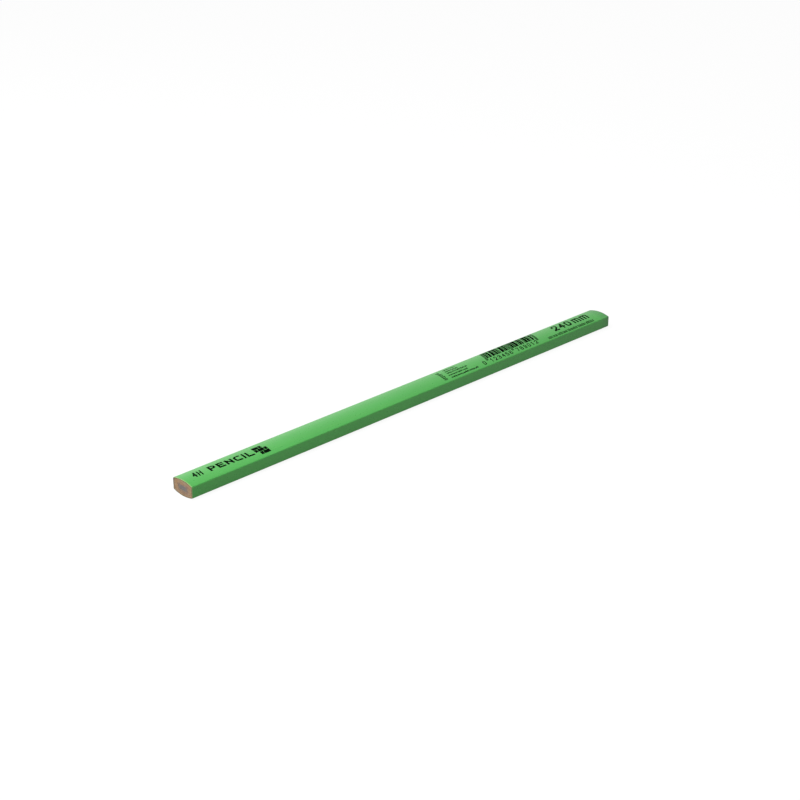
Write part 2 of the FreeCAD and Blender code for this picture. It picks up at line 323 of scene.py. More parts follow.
def lacquer_material():
    n = Nodes("lacquer_green")
    x = n.axis("X")
    # long streaks where the wood's grain tells through, soft mottling, fine peel
    streak = n.noise(n.scaled((22, 1500, 1500)), 1.0, 4, 0.6)
    mottle = n.noise(n.scaled((70, 160, 160)), 1.0, 3, 0.5)
    peel = n.noise(n.scaled((900, 1500, 1500)), 1.0, 2, 0.5)
    base = n.mix(n.ramp(mottle, [(0.32, 0.0), (0.68, 1.0)]), (0.051, 0.372, 0.056), (0.057, 0.396, 0.062))
    base = n.mix(n.ramp(streak, [(0.42, 0.0), (0.78, 1.0)]), base, (0.066, 0.392, 0.058))
    # darker green over the last few millimetres of each sawn end, reaching about 6 mm and much stronger at the far
    # end; on the rim, a pale painted highlight at the near end and painted shade at the far end
    edge = n.math("SUBTRACT", LENGTH / 2 * MM, n.math("ABSOLUTE", x))
    ragged = n.noise(n.scaled((700, 900, 900)), 1.0, 3, 0.6)
    far = n.remap(x, -0.05, 0.05, 0.0, 1.0)
    reach = n.math("MULTIPLY", edge, n.remap(far, 0.0, 1.0, 1.0, 0.38))
    wide = n.math("MULTIPLY", n.remap(reach, 0.0, 0.0022, 1.0, 0.0), n.ramp(ragged, [(0.35, 0.15), (0.7, 0.75)]))
    lip = n.math("MULTIPLY", n.remap(edge, 0.00012, 0.00052, 1.0, 0.0), n.ramp(ragged, [(0.25, 0.55), (0.6, 1.0)]))
    wide = n.math("MULTIPLY", wide, n.remap(far, 0.0, 1.0, 0.12, 1.60))
    # darker over the last few mm of each end, most at the far end
    base = n.mix(wide, base, (0.052, 0.205, 0.062))
    # painted highlight on the near rim where the lip catches light, painted shade on the far rim where it turns
    # away
    lip_highlight_shade = n.mix(far, (0.30, 0.44, 0.17), (0.045, 0.140, 0.050))
    base = n.mix(lip, base, lip_highlight_shade)
    # the sawn edge of the coat itself, picked out by its normal along the pencil, is coloured dark brown
    nrm = n.new("ShaderNodeSeparateXYZ")
    geo = n.new("ShaderNodeNewGeometry")
    n.link(geo.outputs["Normal"], nrm.inputs["Vector"])
    cut = n.remap(n.math("ABSOLUTE", nrm.outputs["X"]), 0.72, 0.93, 0.0, 1.0)
    base = n.mix(cut, base, (0.130, 0.105, 0.060))
    n.set("Base Color", base)
    rough = n.remap(peel, 0.3, 0.7, 0.27, 0.33)
    worn = n.math("MULTIPLY", n.math("MAXIMUM", wide, lip), n.remap(far, 0.0, 1.0, 0.25, 0.04))
    rough = n.math("ADD", rough, worn)
    n.set("Roughness", rough)
    n.bsdf.inputs["IOR"].default_value = 1.5
    n.bsdf.inputs["Specular IOR Level"].default_value = 0.5
    h = n.math("ADD", n.math("MULTIPLY", streak, 0.8), n.math("MULTIPLY", peel, 0.10))
    n.set("Normal", n.bump(h, 0.15, 0.00002))
    return n.mat


def ink_material():
    n = Nodes("stamp_black")
    blot = n.noise(n.scaled((2200, 2200, 2200)), 1.0, 4, 0.65)
    pin = n.noise(n.scaled((9000, 9000, 9000)), 1.0, 2, 0.6)
    base = n.mix(n.ramp(blot, [(0.38, 0.0), (0.66, 1.0)]), (0.0015, 0.004, 0.002), (0.004, 0.010, 0.005))
    gap = n.ramp(pin, [(0.26, 1.0), (0.33, 0.0)])
    base = n.mix(n.math("MULTIPLY", gap, 0.22), base, (0.030, 0.200, 0.034))
    n.set("Base Color", base)
    n.set("Roughness", n.remap(blot, 0.3, 0.7, 0.62, 0.80))
    n.bsdf.inputs["Specular IOR Level"].default_value = 0.0
    n.set("Normal", n.bump(blot, 0.4, 0.00001))
    return n.mat


def wood_material(name, centre, turn, tint):
    """End grain: growth rings round a centre far from the pencil, rays, pores, saw marks, and a darker rim along
    the outline."""
    n = Nodes(name)
    warp = n.noise(n.scaled((0, 420, 420), loc=(0, centre[0] * 0.01, 0)), 1.0, 2, 0.5)
    sep = n.new("ShaderNodeSeparateXYZ")
    n.link(n.obj, sep.inputs["Vector"])
    dy = n.math("SUBTRACT", sep.outputs["Y"], centre[0] * MM)
    dz = n.math("SUBTRACT", sep.outputs["Z"], centre[1] * MM)
    rad = n.math("SQRT", n.math("ADD", n.math("MULTIPLY", dy, dy), n.math("MULTIPLY", dz, dz)))
    rad = n.math("ADD", rad, n.math("MULTIPLY", n.math("SUBTRACT", warp, 0.5), 0.0009))
    phase = n.math("FRACT", n.math("DIVIDE", rad, 0.00132))
    late = n.ramp(phase, [(0.0, 0.12), (0.55, 0.28), (0.86, 1.0), (0.93, 0.9), (1.0, 0.12)])
    fibre = n.noise(n.scaled((0, 5200, 5200)), 1.0, 4, 0.7)
    patch = n.noise(n.scaled((0, 330, 330), loc=(0, 3.1, centre[1])), 1.0, 3, 0.5)
    early, dark = tint
    col = n.mix(n.math("MULTIPLY", late, 0.55), early, dark)
    col = n.mix(n.ramp(patch, [(0.35, 0.0), (0.68, 0.85)]), col, (0.56, 0.330, 0.165))
    col = n.mix(n.ramp(fibre, [(0.30, 0.55), (0.55, 0.0)]), col, (0.27, 0.175, 0.11))
    v = n.new("ShaderNodeTexVoronoi", feature="F1")
    v.inputs["Scale"].default_value = 1.0
    v.inputs["Randomness"].default_value = 1.0
    n.link(n.scaled((0, 4300, 4300), rot=(turn, 0, 0)), v.inputs["Vector"])
    pore = n.ramp(v.outputs["Distance"], [(0.12, 1.0), (0.26, 0.0)])
    col = n.mix(n.math("MULTIPLY", pore, 0.50), col, (0.17, 0.105, 0.062))
    saw = n.noise(n.scaled((0, 320, 4200), rot=(0.28, 0, 0)), 1.0, 2, 0.6)
    col = n.mix(n.ramp(saw, [(0.50, 0.0), (0.78, 0.35)]), col, (0.72, 0.56, 0.41))
    # graphite dust dragged out of the core by the saw, then a darker rim along the outline
    smear = n.attr("smear")
    col = n.mix(n.math("MULTIPLY", smear, 0.62, clamp=True), col, (0.30, 0.225, 0.205))
    warm = n.noise(n.scaled((0, 900, 900), loc=(0, 7.7, centre[1] + 2.0)), 1.0, 2, 0.5)
    near_core = n.math("MULTIPLY", n.attr("smear"), n.ramp(warm, [(0.50, 0.0), (0.62, 1.0)]))
    col = n.mix(n.math("MULTIPLY", near_core, 0.6, clamp=True), col, (0.46, 0.235, 0.185))
    rim = n.attr("rim")
    # darker rim along the outline of the end face
    col = n.mix(n.math("MULTIPLY", rim, 0.92, clamp=True), col, (0.175, 0.140, 0.070))
    # darker at one upper corner and along the side next to it
    col = n.mix(n.attr("corner_darkening"), col, (0.165, 0.130, 0.108))
    col = n.mix(1.0, col, (0.75, 0.75, 0.75), "MULTIPLY")
    n.set("Base Color", col)
    n.set("Roughness", n.remap(fibre, 0.3, 0.7, 0.62, 0.85))
    n.bsdf.inputs["Specular IOR Level"].default_value = 0.22
    h = n.math("SUBTRACT", n.math("MULTIPLY", fibre, 0.5), pore)
    h = n.math("ADD", h, n.math("MULTIPLY", saw, 0.7))
    n.set("Normal", n.bump(h, 0.5, 0.00004))
    return n.mat


def graphite_material():
    n = Nodes("graphite_grey")
    grain = n.noise(n.scaled((6500, 6500, 6500)), 1.0, 4, 0.7)
    drag = n.noise(n.scaled((300, 420, 5200), rot=(0.28, 0, 0)), 1.0, 2, 0.6)
    base = n.mix(n.ramp(grain, [(0.35, 0.0), (0.7, 1.0)]), (0.130, 0.120, 0.112), (0.215, 0.198, 0.182))
    base = n.mix(n.ramp(drag, [(0.48, 0.0), (0.75, 0.6)]), base, (0.29, 0.27, 0.25))
    # wood dust packed into the two narrow ends of the core
    side = n.remap(n.math("ABSOLUTE", n.axis("Y")), 0.0012, 0.0023, 0.0, 0.75)
    dust = n.noise(n.scaled((0, 1700, 1700)), 1.0, 3, 0.6)
    base = n.mix(n.math("MULTIPLY", side, n.ramp(dust, [(0.35, 0.35), (0.6, 1.0)])), base, (0.27, 0.19, 0.145))
    n.set("Base Color", base)
    n.set("Metallic", 0.25)
    n.set("Roughness", n.remap(drag, 0.3, 0.7, 0.36, 0.55))
    h = n.math("ADD", n.math("MULTIPLY", grain, 0.4), drag)
    n.set("Normal", n.bump(h, 0.4, 0.00003))
    return n.mat


def glue_material():
    n = Nodes("glue_tan")
    g = n.noise(n.scaled((1200, 5200, 5200)), 1.0, 3, 0.6)
    n.set("Base Color", n.mix(g, (0.30, 0.215, 0.12), (0.44, 0.33, 0.20)))
    n.set("Roughness", n.remap(g, 0.3, 0.7, 0.35, 0.6))
    n.set("Normal", n.bump(g, 0.3, 0.00002))
    return n.mat


def primer_material():
    n = Nodes("primer_pale")
    g = n.noise(n.scaled((2600, 2600, 2600)), 1.0, 3, 0.6)
    n.set("Base Color", n.mix(g, (0.17, 0.18, 0.085), (0.27, 0.28, 0.15)))
    n.set("Roughness", n.remap(g, 0.3, 0.7, 0.55, 0.8))
    n.set("Normal", n.bump(g, 0.4, 0.00003))
    return n.mat


LACQUER = lacquer_material()
INK = ink_material()
WOOD_UP = wood_material("wood_upper", (6.0, -31.0), 0.3, ((0.62, 0.445, 0.285), (0.40, 0.255, 0.145)))
WOOD_LOW = wood_material("wood_lower", (-13.0, 34.0), 1.1, ((0.60, 0.425, 0.270), (0.39, 0.245, 0.140)))
GRAPHITE = graphite_material()
GLUE = glue_material()
PRIMER = primer_material()


# ----------------------------------------------- the painted surface's relief
DENTS = [  # x, arc position, radius along, radius across, depth: knocks on the edges
    (-71.0, 5.9, 1.5, 0.5, 0.035), (-22.5, -5.8, 1.1, 0.45, 0.030), (37.0, 5.6, 0.9, 0.5, 0.028),
    (88.5, -5.9, 1.4, 0.4, 0.032), (5.0, -11.0, 1.2, 0.5, 0.03), (-96.0, 11.2, 1.0, 0.5, 0.03),
    (61.0, 16.2, 1.6, 0.8, 0.02), (-48.0, 14.0, 1.3, 0.9, 0.02), (104.0, -2.6, 0.8, 0.6, 0.012),
]


def relief(x, s):
    """Depth of the lacquer's surface below its true section, in mm, at a place
    along the pencil and an arc position from the top middle (+Y positive)."""
    x, s = np.asarray(x, float), np.asarray(s, float)
    d = 0.0035 * (1 + vnoise(x / 34.0 + 7.3, s / 0.62 + 40.0, 11))
    d = d + 0.0045 * (1 + vnoise(x / 13.0 + 3.1, s / 2.7 + 60.0, 12))
    d = d + 0.0008 * (1 + vnoise(x / 1.9, s / 0.9 + 80.0, 13))
    for dx, ds, rx, rs, depth in DENTS:
        q = ((x - dx) / rx) ** 2 + ((s - ds) / rs) ** 2
        d = d + depth * np.exp(-1.6 * q)
    return d


def arc_of(s):
    """Arc position folded to -half..half of the ring."""
    return np.where(s > RING_LEN / 2, s - RING_LEN, s)


def end_ragged(s, seed):
    """How far the coat stops short of the saw cut round the ring: a small
    general amount and a few chips."""
    u = s / RING_LEN * 40.0
    base = 0.035 + 0.020 * vnoise(u * 2.1, 0.5 * np.ones_like(u), seed)
    chip = smooth(0.42, 0.80, vnoise(u * 0.9, 3.7 * np.ones_like(u), seed + 1))
    return base + chip * (0.10 + 0.06 * vnoise(u * 3.1, 9.0 * np.ones_like(u), seed + 2))


def build_lacquer():
    from_end = np.array([0.0, 0.02, 0.045, 0.08, 0.13, 0.20, 0.30, 0.45, 0.65, 0.95, 1.35, 1.9, 2.6])
    middle = np.linspace(-HALF + 3.4, HALF - 3.4, 300)
    n = len(RING)
    s = arc_of(RING_S)
    near_cut, far_cut = end_ragged(RING_S, 101), end_ragged(RING_S, 131)
    rows = []

    def row(x, inset):
        p = RING - RING_N * inset[:, None]
        rows.append(np.column_stack([x, p[:, 0], p[:, 1] + MID_Z]))

    def lip(d, worn):
        # rounded-over rim: a quarter turn at the very edge and a slow fall behind it
        return 0.045 * (1 - smooth(0, 0.085, d)) + worn * (1 - smooth(0, 0.55, d))

    for d in from_end:
        x = -HALF + near_cut + d
        row(x, relief(x, s) + lip(d, 0.030))
    for m in middle:
        x = np.full(n, m)
        row(x, relief(x, s))
    for d in from_end[::-1]:
        x = HALF - far_cut - d
        row(x, relief(x, s) + lip(d, 0.045))
    outer = len(rows)
    # rim step and the hidden inner face
    inner_far = np.full(n, LACQUER_T)
    row(HALF - far_cut - 0.004, inner_far)
    row(HALF - 4.0 + 0 * far_cut, inner_far)
    row(-HALF + 4.0 + 0 * near_cut, inner_far)
    row(-HALF + near_cut + 0.004, inner_far)
    total = len(rows)
    verts = np.vstack(rows)
    faces = []
    for r in range(total):
        q = (r + 1) % total
        for i in range(n):
            j = (i + 1) % n
            faces.append((r * n + i, q * n + i, q * n + j, r * n + j))
    return mesh_object("green_lacquer_coat", verts, faces, LACQUER, sharp_deg=50)


# -------------------------------------------------------------- the end faces
def ring_relief(y, z, centre):
    r = np.hypot(y - centre[0], z + MID_Z - centre[1]) + 0.45 * vnoise(y / 2.4 + 9, z / 2.4 + 9, 21)
    return np.clip((r / 1.32) % 1.0, 0, 1)


def cut_depth(y, z, seed, centre=None):
    """Depth of the sawn end behind its plane: saw ridges, grain, small pits."""
    c, s = math.cos(0.28), math.sin(0.28)
    across = -y * s + z * c
    along = y * c + z * s
    d = 0.022 + 0.011 * vnoise(along / 4.2 + 11, across / 0.24 + 30, seed)
    d = d + 0.006 * vnoise(along / 2.0 + 3, across / 0.11 + 5, seed + 1)
    if centre is not None:
        late = ring_relief(y, z, centre)
        d = d - 0.007 * smooth(0.6, 0.9, late) * (1 - smooth(0.93, 1.0, late))
        pit = vnoise(y / 0.17 + 51, z / 0.17 + 17, seed + 2)
        d = d + 0.030 * smooth(0.55, 0.9, pit)
    return np.clip(d, 0.0, 0.09)


def body_distance(y, z):
    """Distance inwards from the bare wood's outline."""
    crown = (CROWN_R - PAINT_T) - np.hypot(y, np.abs(z) + AXIS_DROP)
    side = (WIDTH / 2 - PAINT_T) - np.abs(y)
    return np.minimum(crown, side)


def groove_distance(y, z):
    """Distance outwards from the core."""
    dy, dz = np.maximum(np.abs(y) - CORE_W / 2, 0), np.maximum(np.abs(z) - CORE_T / 2, 0)
    return np.hypot(dy, dz)


def slat_cap(upper):
    """Structured cap of one slat: columns follow its outline, rows run from
    the groove to the outside."""
    film = GLUE_T / 2
    ring, _, _, _ = body_ring(PAINT_T, 120, 14, 44)
    groove = oblong_ring(CORE_W + 2 * GLUE_T, CORE_T + 2 * GLUE_T, CORE_R + GLUE_T, 10, 90, 30)

    def half(points, lo):
        pts = points if upper else points * np.array([1, -1])
        ang = np.arctan2(pts[:, 1], pts[:, 0])
        keep = pts[:, 1] > film
        order = np.argsort(ang[keep])
        p = pts[keep][order]
        y_end = np.abs(pts[:, 0]).max() if lo else CORE_W / 2 + GLUE_T
        p = np.vstack([[y_end, film], p, [-y_end, film]])
        seg = np.concatenate([[0], np.cumsum(np.hypot(*np.diff(p, axis=0).T))])
        return p, seg / seg[-1]

    po, so = half(ring, True)
    pi, si = half(groove, False)
    t = np.linspace(0, 1, 190)
    outer = np.column_stack([np.interp(t, so, po[:, 0]), np.interp(t, so, po[:, 1])])
    # the groove's corners face the slat's corners
    ang_o = np.arctan2(outer[:, 1], outer[:, 0])
    ang_i = np.arctan2(pi[:, 1], pi[:, 0])
    blend = (ang_o - ang_o[0]) / (ang_o[-1] - ang_o[0]) * (ang_i[-1] - ang_i[0]) + ang_i[0]
    inner = np.column_stack([np.interp(blend, ang_i, pi[:, 0]), np.interp(blend, ang_i, pi[:, 1])])
    rows = 34
    w = np.linspace(0, 1, rows)
    cap = (inner[None] * (1 - w[:, None, None]) + outer[None] * w[:, None, None]).reshape(-1, 2)
    if not upper:
        cap = cap * np.array([1, -1])
    m = len(t)
    quads = []
    for r in range(rows - 1):
        for i in range(m - 1):
            a, b, c, d = r * m + i, r * m + i + 1, (r + 1) * m + i + 1, (r + 1) * m + i
            quads.append((a, b, c, d) if upper else (a, d, c, b))
    return cap, quads


def slat(name, upper, centre, mat):
    cap, quads = slat_cap(upper)
    y, z = cap[:, 0], cap[:, 1]
    inward = body_distance(y, z)
    out = groove_distance(y, z)
    near = cut_depth(y, z, 201, centre) + 0.05 * (1 - smooth(0.0, 0.16, inward))
    far = cut_depth(y, z, 241, centre) + 0.06 * (1 - smooth(0.0, 0.20, inward))
    wob = 0.5 + 0.5 * vnoise(y / 0.8, z / 0.8, 63)
    # rim: the darker band along the end face's outline
    rim = (1 - smooth(0.05, 0.24 + 0.30 * wob, inward)) * (0.55 + 0.45 * wob)
    smear = (1 - smooth(0.0, 0.5 + 0.9 * wob, out - GLUE_T)) * (0.4 + 0.6 * wob)
    # the saw dragged dust towards one side
    smear = np.clip(smear + 0.35 * (1 - smooth(0.2, 2.2, out)) * smooth(-1.5, 3.0, -y - z), 0, 1)
    # one upper corner and the whole side next to it are darker
    corner_darkening = 0.75 * (1 - smooth(0.2, 1.15, np.hypot(y - 5.35, z - 2.15))) + 0.45 * smooth(4.0, 5.6, y)
    corner_darkening = np.clip(corner_darkening * (0.6 + 0.6 * wob), 0, 0.9)
    masks = {"rim": (rim, rim), "smear": (smear, smear), "corner_darkening": (corner_darkening, corner_darkening * 0.5)}
    return prism(name, cap, quads, near, far, mat, masks)


def core_piece():
    ring = oblong_ring(CORE_W, CORE_T, CORE_R)
    m, rows = len(ring), 20
    t = np.linspace(1, 0.05, rows)
    cap = np.vstack([ring * k for k in t] + [np.zeros((1, 2))])
    quads = []
    for r in range(rows - 1):
        for i in range(m):
            j = (i + 1) % m
            quads.append((r * m + i, r * m + j, (r + 1) * m + j, (r + 1) * m + i)[::-1])
    last, mid = (rows - 1) * m, rows * m
    for i in range(m):
        quads.append((last + i, last + (i + 1) % m, mid)[::-1])
    y, z = cap[:, 0], cap[:, 1]
    edge = np.minimum(CORE_W / 2 - np.abs(y), CORE_T / 2 - np.abs(z))
    crumble = 0.05 * (1 - smooth(0, 0.12, edge)) * (1 + vnoise(y / 0.3, z / 0.3, 71))
    near = 0.035 + 0.6 * cut_depth(y, z, 301) + crumble
    far = 0.040 + 0.6 * cut_depth(y, z, 321) + crumble
    return prism("graphite_core_rod", cap, quads, near, far, GRAPHITE)


def sleeve(name, inner, outer, near_extra, far_extra, mat, seed):
    """Closed tube between two matching rings."""
    m = len(inner)
    w = np.array([0.0, 0.5, 1.0])
    cap = np.vstack([inner * (1 - k) + outer * k for k in w])
    quads = []
    for r in range(2):
        for i in range(m):
            j = (i + 1) % m
            quads.append((r * m + i, r * m + j, (r + 1) * m + j, (r + 1) * m + i))
    y, z = cap[:, 0], cap[:, 1]
    # rings run anticlockwise seen from +X when their signed area is positive
    area = np.sum(inner[:, 0] * np.roll(inner[:, 1], -1) - np.roll(inner[:, 0], -1) * inner[:, 1])
    if area < 0:
        quads = [q[::-1] for q in quads]
    near = cut_depth(y, z, seed) + near_extra
    far = cut_depth(y, z, seed + 40) + far_extra
    return prism(name, cap, quads, near, far, mat)


def seam(name, side):
    film = GLUE_T / 2
    y0, y1 = CORE_W / 2 + GLUE_T, WIDTH / 2 - PAINT_T
    ys = np.linspace(y0, y1, 34)
    cap = np.vstack([np.column_stack([ys * side, np.full_like(ys, z)]) for z in (-film, film)])
    m = len(ys)
    quads = []
    for i in range(m - 1):
        q = (i, i + 1, m + i + 1, m + i)
        quads.append(q if side < 0 else q[::-1])
    y, z = cap[:, 0], cap[:, 1]
    near = cut_depth(y, z, 201) + 0.012
    far = cut_depth(y, z, 241) + 0.012
    return prism(name, cap, quads, near, far, GLUE)


# ------------------------------------------------------------- stamped marks
GLYPHS = {
    "0": [(1, 0.30, [(0, 0), (1, 0), (1, 1), (0, 1)])],
    "1": [(0, 0.0, [(0.15, 0.76), (0.55, 1), (0.55, 0)])],
    "2": [(0, 0.22, [(0, 0.70), (0, 1), (1, 1), (1, 0.55), (0.04, 0.0)]), (0, 0.0, [(0, 0), (1, 0)])],
    "3": [(0, 0.22, [(0, 0.82), (0, 1), (0.95, 1), (0.95, 0.53), (0.35, 0.53)]),
          (0, 0.22, [(0.4, 0.53), (1, 0.53), (1, 0), (0, 0), (0, 0.18)])],
    "4": [(0, 0.0, [(0.74, 0), (0.74, 1)]), (0, 0.0, [(0.74, 0.98), (0.0, 0.30), (1.0, 0.30)])],
    "5": [(0, 0.0, [(0.94, 1), (0.08, 1), (0.08, 0.56)]),
          (0, 0.26, [(0.0, 0.58), (1, 0.58), (1, 0), (0, 0), (0, 0.2)])],
    "6": [(1, 0.24, [(0, 0), (1, 0), (1, 0.56), (0, 0.56)]),
          (0, 0.30, [(0, 0.30), (0, 1), (0.92, 1), (0.92, 0.86)])],
    "7": [(0, 0.0, [(0, 1), (1, 1), (0.35, 0)])],
    "8": [(1, 0.22, [(0, 0), (1, 0), (1, 0.53), (0, 0.53)]),
          (1, 0.22, [(0.06, 0.53), (0.94, 0.53), (0.94, 1), (0.06, 1)])],
    "9": [(1, 0.24, [(0, 0.44), (1, 0.44), (1, 1), (0, 1)]),
          (0, 0.30, [(1, 0.70), (1, 0), (0.08, 0), (0.08, 0.14)])],
    "C": [(0, 0.30, [(1, 1), (0, 1), (0, 0), (1, 0)])],
    "E": [(0, 0.0, [(1, 0), (0, 0), (0, 1), (1, 1)]), (0, 0.0, [(0, 0.51), (0.86, 0.51)])],
    "H": [(0, 0.0, [(0, 0), (0, 1)]), (0, 0.0, [(1, 0), (1, 1)]), (0, 0.0, [(0, 0.5), (1, 0.5)])],
    "I": [(0, 0.0, [(0.5, 0), (0.5, 1)])],
    "L": [(0, 0.0, [(0, 1), (0, 0), (1, 0)])],
    "N": [(0, 0.0, [(0, 0), (0, 1)]), (0, 0.0, [(0, 0.96), (1, 0.04)]), (0, 0.0, [(1, 0), (1, 1)])],
    "P": [(0, 0.0, [(0, 0), (0, 1)]), (0, 0.26, [(0, 1), (1, 1), (1, 0.44), (0, 0.44)])],
    "m": [(0, 0.0, [(0, 0), (0, 0.84)]), (0, 0.14, [(0, 0.84), (0.5, 0.84), (0.5, 0)]),
          (0, 0.14, [(0.48, 0.84), (1, 0.84), (1, 0)])],
}


def rounded(points, radius, closed, steps=6):
    """The polyline with arcs for corners; the flag marks a joint in an arc."""
    out = []
    n = len(points)
    for i, (x, y) in enumerate(points):
        if not closed and i in (0, n - 1):
            out.append((x, y, False))
            continue
        (ax, ay), (bx, by) = points[i - 1], points[(i + 1) % n]
        lu, lv = math.hypot(ax - x, ay - y), math.hypot(bx - x, by - y)
        ux, uy, vx, vy = (ax - x) / lu, (ay - y) / lu, (bx - x) / lv, (by - y) / lv
        r = min(radius, 0.49 * lu, 0.49 * lv)
        for k in range(steps + 1):
            t = k / steps
            a, c = (1 - t) ** 2, t * t
            out.append((x + r * (a * ux + c * vx), y + r * (a * uy + c * vy), True))
    return out


def glyph(char, x0, y0, width, height, pen):
    """Stroke boxes of one character: x0, y0, x1, y1, half pen, square ends."""
    segs = []
    for closed, radius, points in GLYPHS[char]:
        path = [(x0 + pen / 2 + px * (width - pen), y0 + pen / 2 + py * (height - pen)) for px, py in points]
        if radius:
            path = rounded(path, radius * min(width, height), bool(closed))
        else:
            path = [(x, y, False) for x, y in path]
        m = len(path)
        for i in range(m if closed else m - 1):
            ax, ay, fa = path[i]
            bx, by, fb = path[(i + 1) % m]
            if math.hypot(bx - ax, by - ay) > 1e-6:
                segs.append(("seg", ax, ay, bx, by, pen / 2, not fa, not fb))
    return segs


def box(x0, x1, y0, y1, r=0.03):
    return ("box", x0, x1, y0, y1, r)


def sdf(shape, x, y):
    if shape[0] == "box":
        _, x0, x1, y0, y1, r = shape
        qx = np.abs(x - (x0 + x1) / 2) - (x1 - x0) / 2 + r
        qy = np.abs(y - (y0 + y1) / 2) - (y1 - y0) / 2 + r
        return np.hypot(np.maximum(qx, 0), np.maximum(qy, 0)) + np.minimum(np.maximum(qx, qy), 0) - r
    _, ax, ay, bx, by, h, sa, sb = shape
    dx, dy = bx - ax, by - ay
    ln = math.hypot(dx, dy)
    dx, dy = dx / ln, dy / ln
    u = (x - ax) * dx + (y - ay) * dy
    v = np.abs((x - ax) * -dy + (y - ay) * dx)
    # square ends run on by half the pen, round ends turn about the joint
    lo, hi = (-h if sa else 0.0), (ln + h if sb else ln)
    over = np.maximum(lo - u, u - hi)
    sharp = np.maximum(over, v - h)
    soft = np.hypot(np.maximum(np.maximum(-u, u - ln), 0), v) - h
    return np.minimum(sharp, soft)


def extent(shape):
    if shape[0] == "box":
        return shape[1], shape[2], shape[3], shape[4]
    _, ax, ay, bx, by, h, _, _ = shape
    p = h * 1.5
    return min(ax, bx) - p, max(ax, bx) + p, min(ay, by) - p, max(ay, by) + p


def film(name, shapes, lean, cell, seed, rough=0.018, thick=0.012, fall=0.0, start=0.0):
    """A thin closed film of ink over the crowned face. Its outline is where the
    distance field of the strokes, roughened a little, crosses zero."""
    ex = np.array([extent(s) for s in shapes])
    y0, y1 = ex[:, 2].min() - 0.2, ex[:, 3].max() + 0.2
    x0, x1 = ex[:, 0].min() - 0.2, ex[:, 1].max() + 0.2
    nx, ny = int((x1 - x0) / cell) + 2, int((y1 - y0) / cell) + 2
    gx, gy = x0 + np.arange(nx) * cell, y0 + np.arange(ny) * cell
    f = np.full((nx, ny), 1.0)
    for s, (a, b, c, d) in zip(shapes, ex):
        i0, i1 = max(int((a - 0.2 - x0) / cell), 0), min(int((b + 0.2 - x0) / cell) + 2, nx)
        j0, j1 = max(int((c - 0.2 - y0) / cell), 0), min(int((d + 0.2 - y0) / cell) + 2, ny)
        g = sdf(s, gx[i0:i1, None], gy[None, j0:j1])
        f[i0:i1, j0:j1] = np.minimum(f[i0:i1, j0:j1], g)
    f = f + rough * fbm(gx[:, None] / 0.33 + 5, gy[None, :] / 0.33 + 5, seed, 2)
    f = np.where(np.abs(f) < 1e-5, 1e-5, f)
    inside = f < 0
    verts, faces, index = [], [], {}

    def corner(i, j):
        key = (i, j)
        if key not in index:
            index[key] = len(verts)
            verts.append((gx[i], gy[j], f[i, j]))
        return index[key]

    def crossing(i, j, k, l):
        key = (i, j, k, l) if (i, j) < (k, l) else (k, l, i, j)
        if key not in index:
            t = f[i, j] / (f[i, j] - f[k, l])
            index[key] = len(verts)
            verts.append((gx[i] + t * (gx[k] - gx[i]), gy[j] + t * (gy[l] - gy[j]), 0.0))
        return index[key]

    cellsum = inside[:-1, :-1].astype(int) + inside[1:, :-1] + inside[1:, 1:] + inside[:-1, 1:]
    for i, j in np.argwhere(cellsum > 0):
        ring = [(i, j), (i + 1, j), (i + 1, j + 1), (i, j + 1)]
        if cellsum[i, j] == 4:
            faces.append([corner(*p) for p in ring])
            continue
        if cellsum[i, j] == 2 and inside[ring[0]] == inside[ring[2]]:
            # two opposite corners: two separate corner pieces
            for k in range(4):
                if inside[ring[k]]:
                    p, a, b = ring[k], ring[k - 1], ring[(k + 1) % 4]
                    faces.append([crossing(*p, *a), corner(*p), crossing(*p, *b)])
            continue
        poly = []
        for k in range(4):
            p, q = ring[k], ring[(k + 1) % 4]
            if inside[p]:
                poly.append(corner(*p))
            if inside[p] != inside[q]:
                poly.append(crossing(*p, *q))
        if len(poly) >= 3:
            faces.append(poly)
    v = np.array(verts)
    x = v[:, 0] + lean * v[:, 1]
    y = v[:, 1] + fall * (v[:, 0] - start)
    s = CROWN_R * np.arcsin(np.clip(y / CROWN_R, -1, 1))
    nrm_y, nrm_z = y / CROWN_R, np.sqrt(1 - (y / CROWN_R) ** 2)
    depth = relief(x, s)
    rise = 0.003 + thick * smooth(0.0, 0.05, -v[:, 2])
    r_top, r_low = CROWN_R - depth + rise, CROWN_R - depth - 0.012
    top = np.column_stack([x, r_top * nrm_y, r_top * nrm_z - AXIS_DROP + MID_Z])
    low = np.column_stack([x, r_low * nrm_y, r_low * nrm_z - AXIS_DROP + MID_Z])
    n = len(v)
    edges = {}
    for fc in faces:
        for k in range(len(fc)):
            e = (fc[k], fc[(k + 1) % len(fc)])
            if (e[1], e[0]) in edges:
                edges.pop((e[1], e[0]))
            else:
                edges[e] = True
    out = [list(fc) for fc in faces]
    out += [[i + n for i in reversed(fc)] for fc in faces]
    out += [[j, i, i + n, j + n] for i, j in edges]
    return mesh_object(name, np.vstack([top, low]), out, INK, sharp_deg=60)


def run_of_marks(x, y, length, x_height, pen, seed, tall=0.35, gap=0.42, low=0.25):
    """Greeked small print: little upright blocks grouped like words, no letters."""
    rng = np.random.RandomState(seed)
    out, end = [], x + length
    while x < end - pen:
        for _ in range(rng.randint(4, 10)):
            w = pen * (0.75 + 0.7 * rng.rand())
            up = x_height * (1.0 + (tall if rng.rand() < 0.28 else 0.0))
            down = y - (x_height * low if rng.rand() < 0.12 else 0.0)
            if x + w > end:
                return out
            out.append(box(x, x + w, down, y + up, 0.02))
            x += w + pen * gap
        x += pen * 0.75
    return out


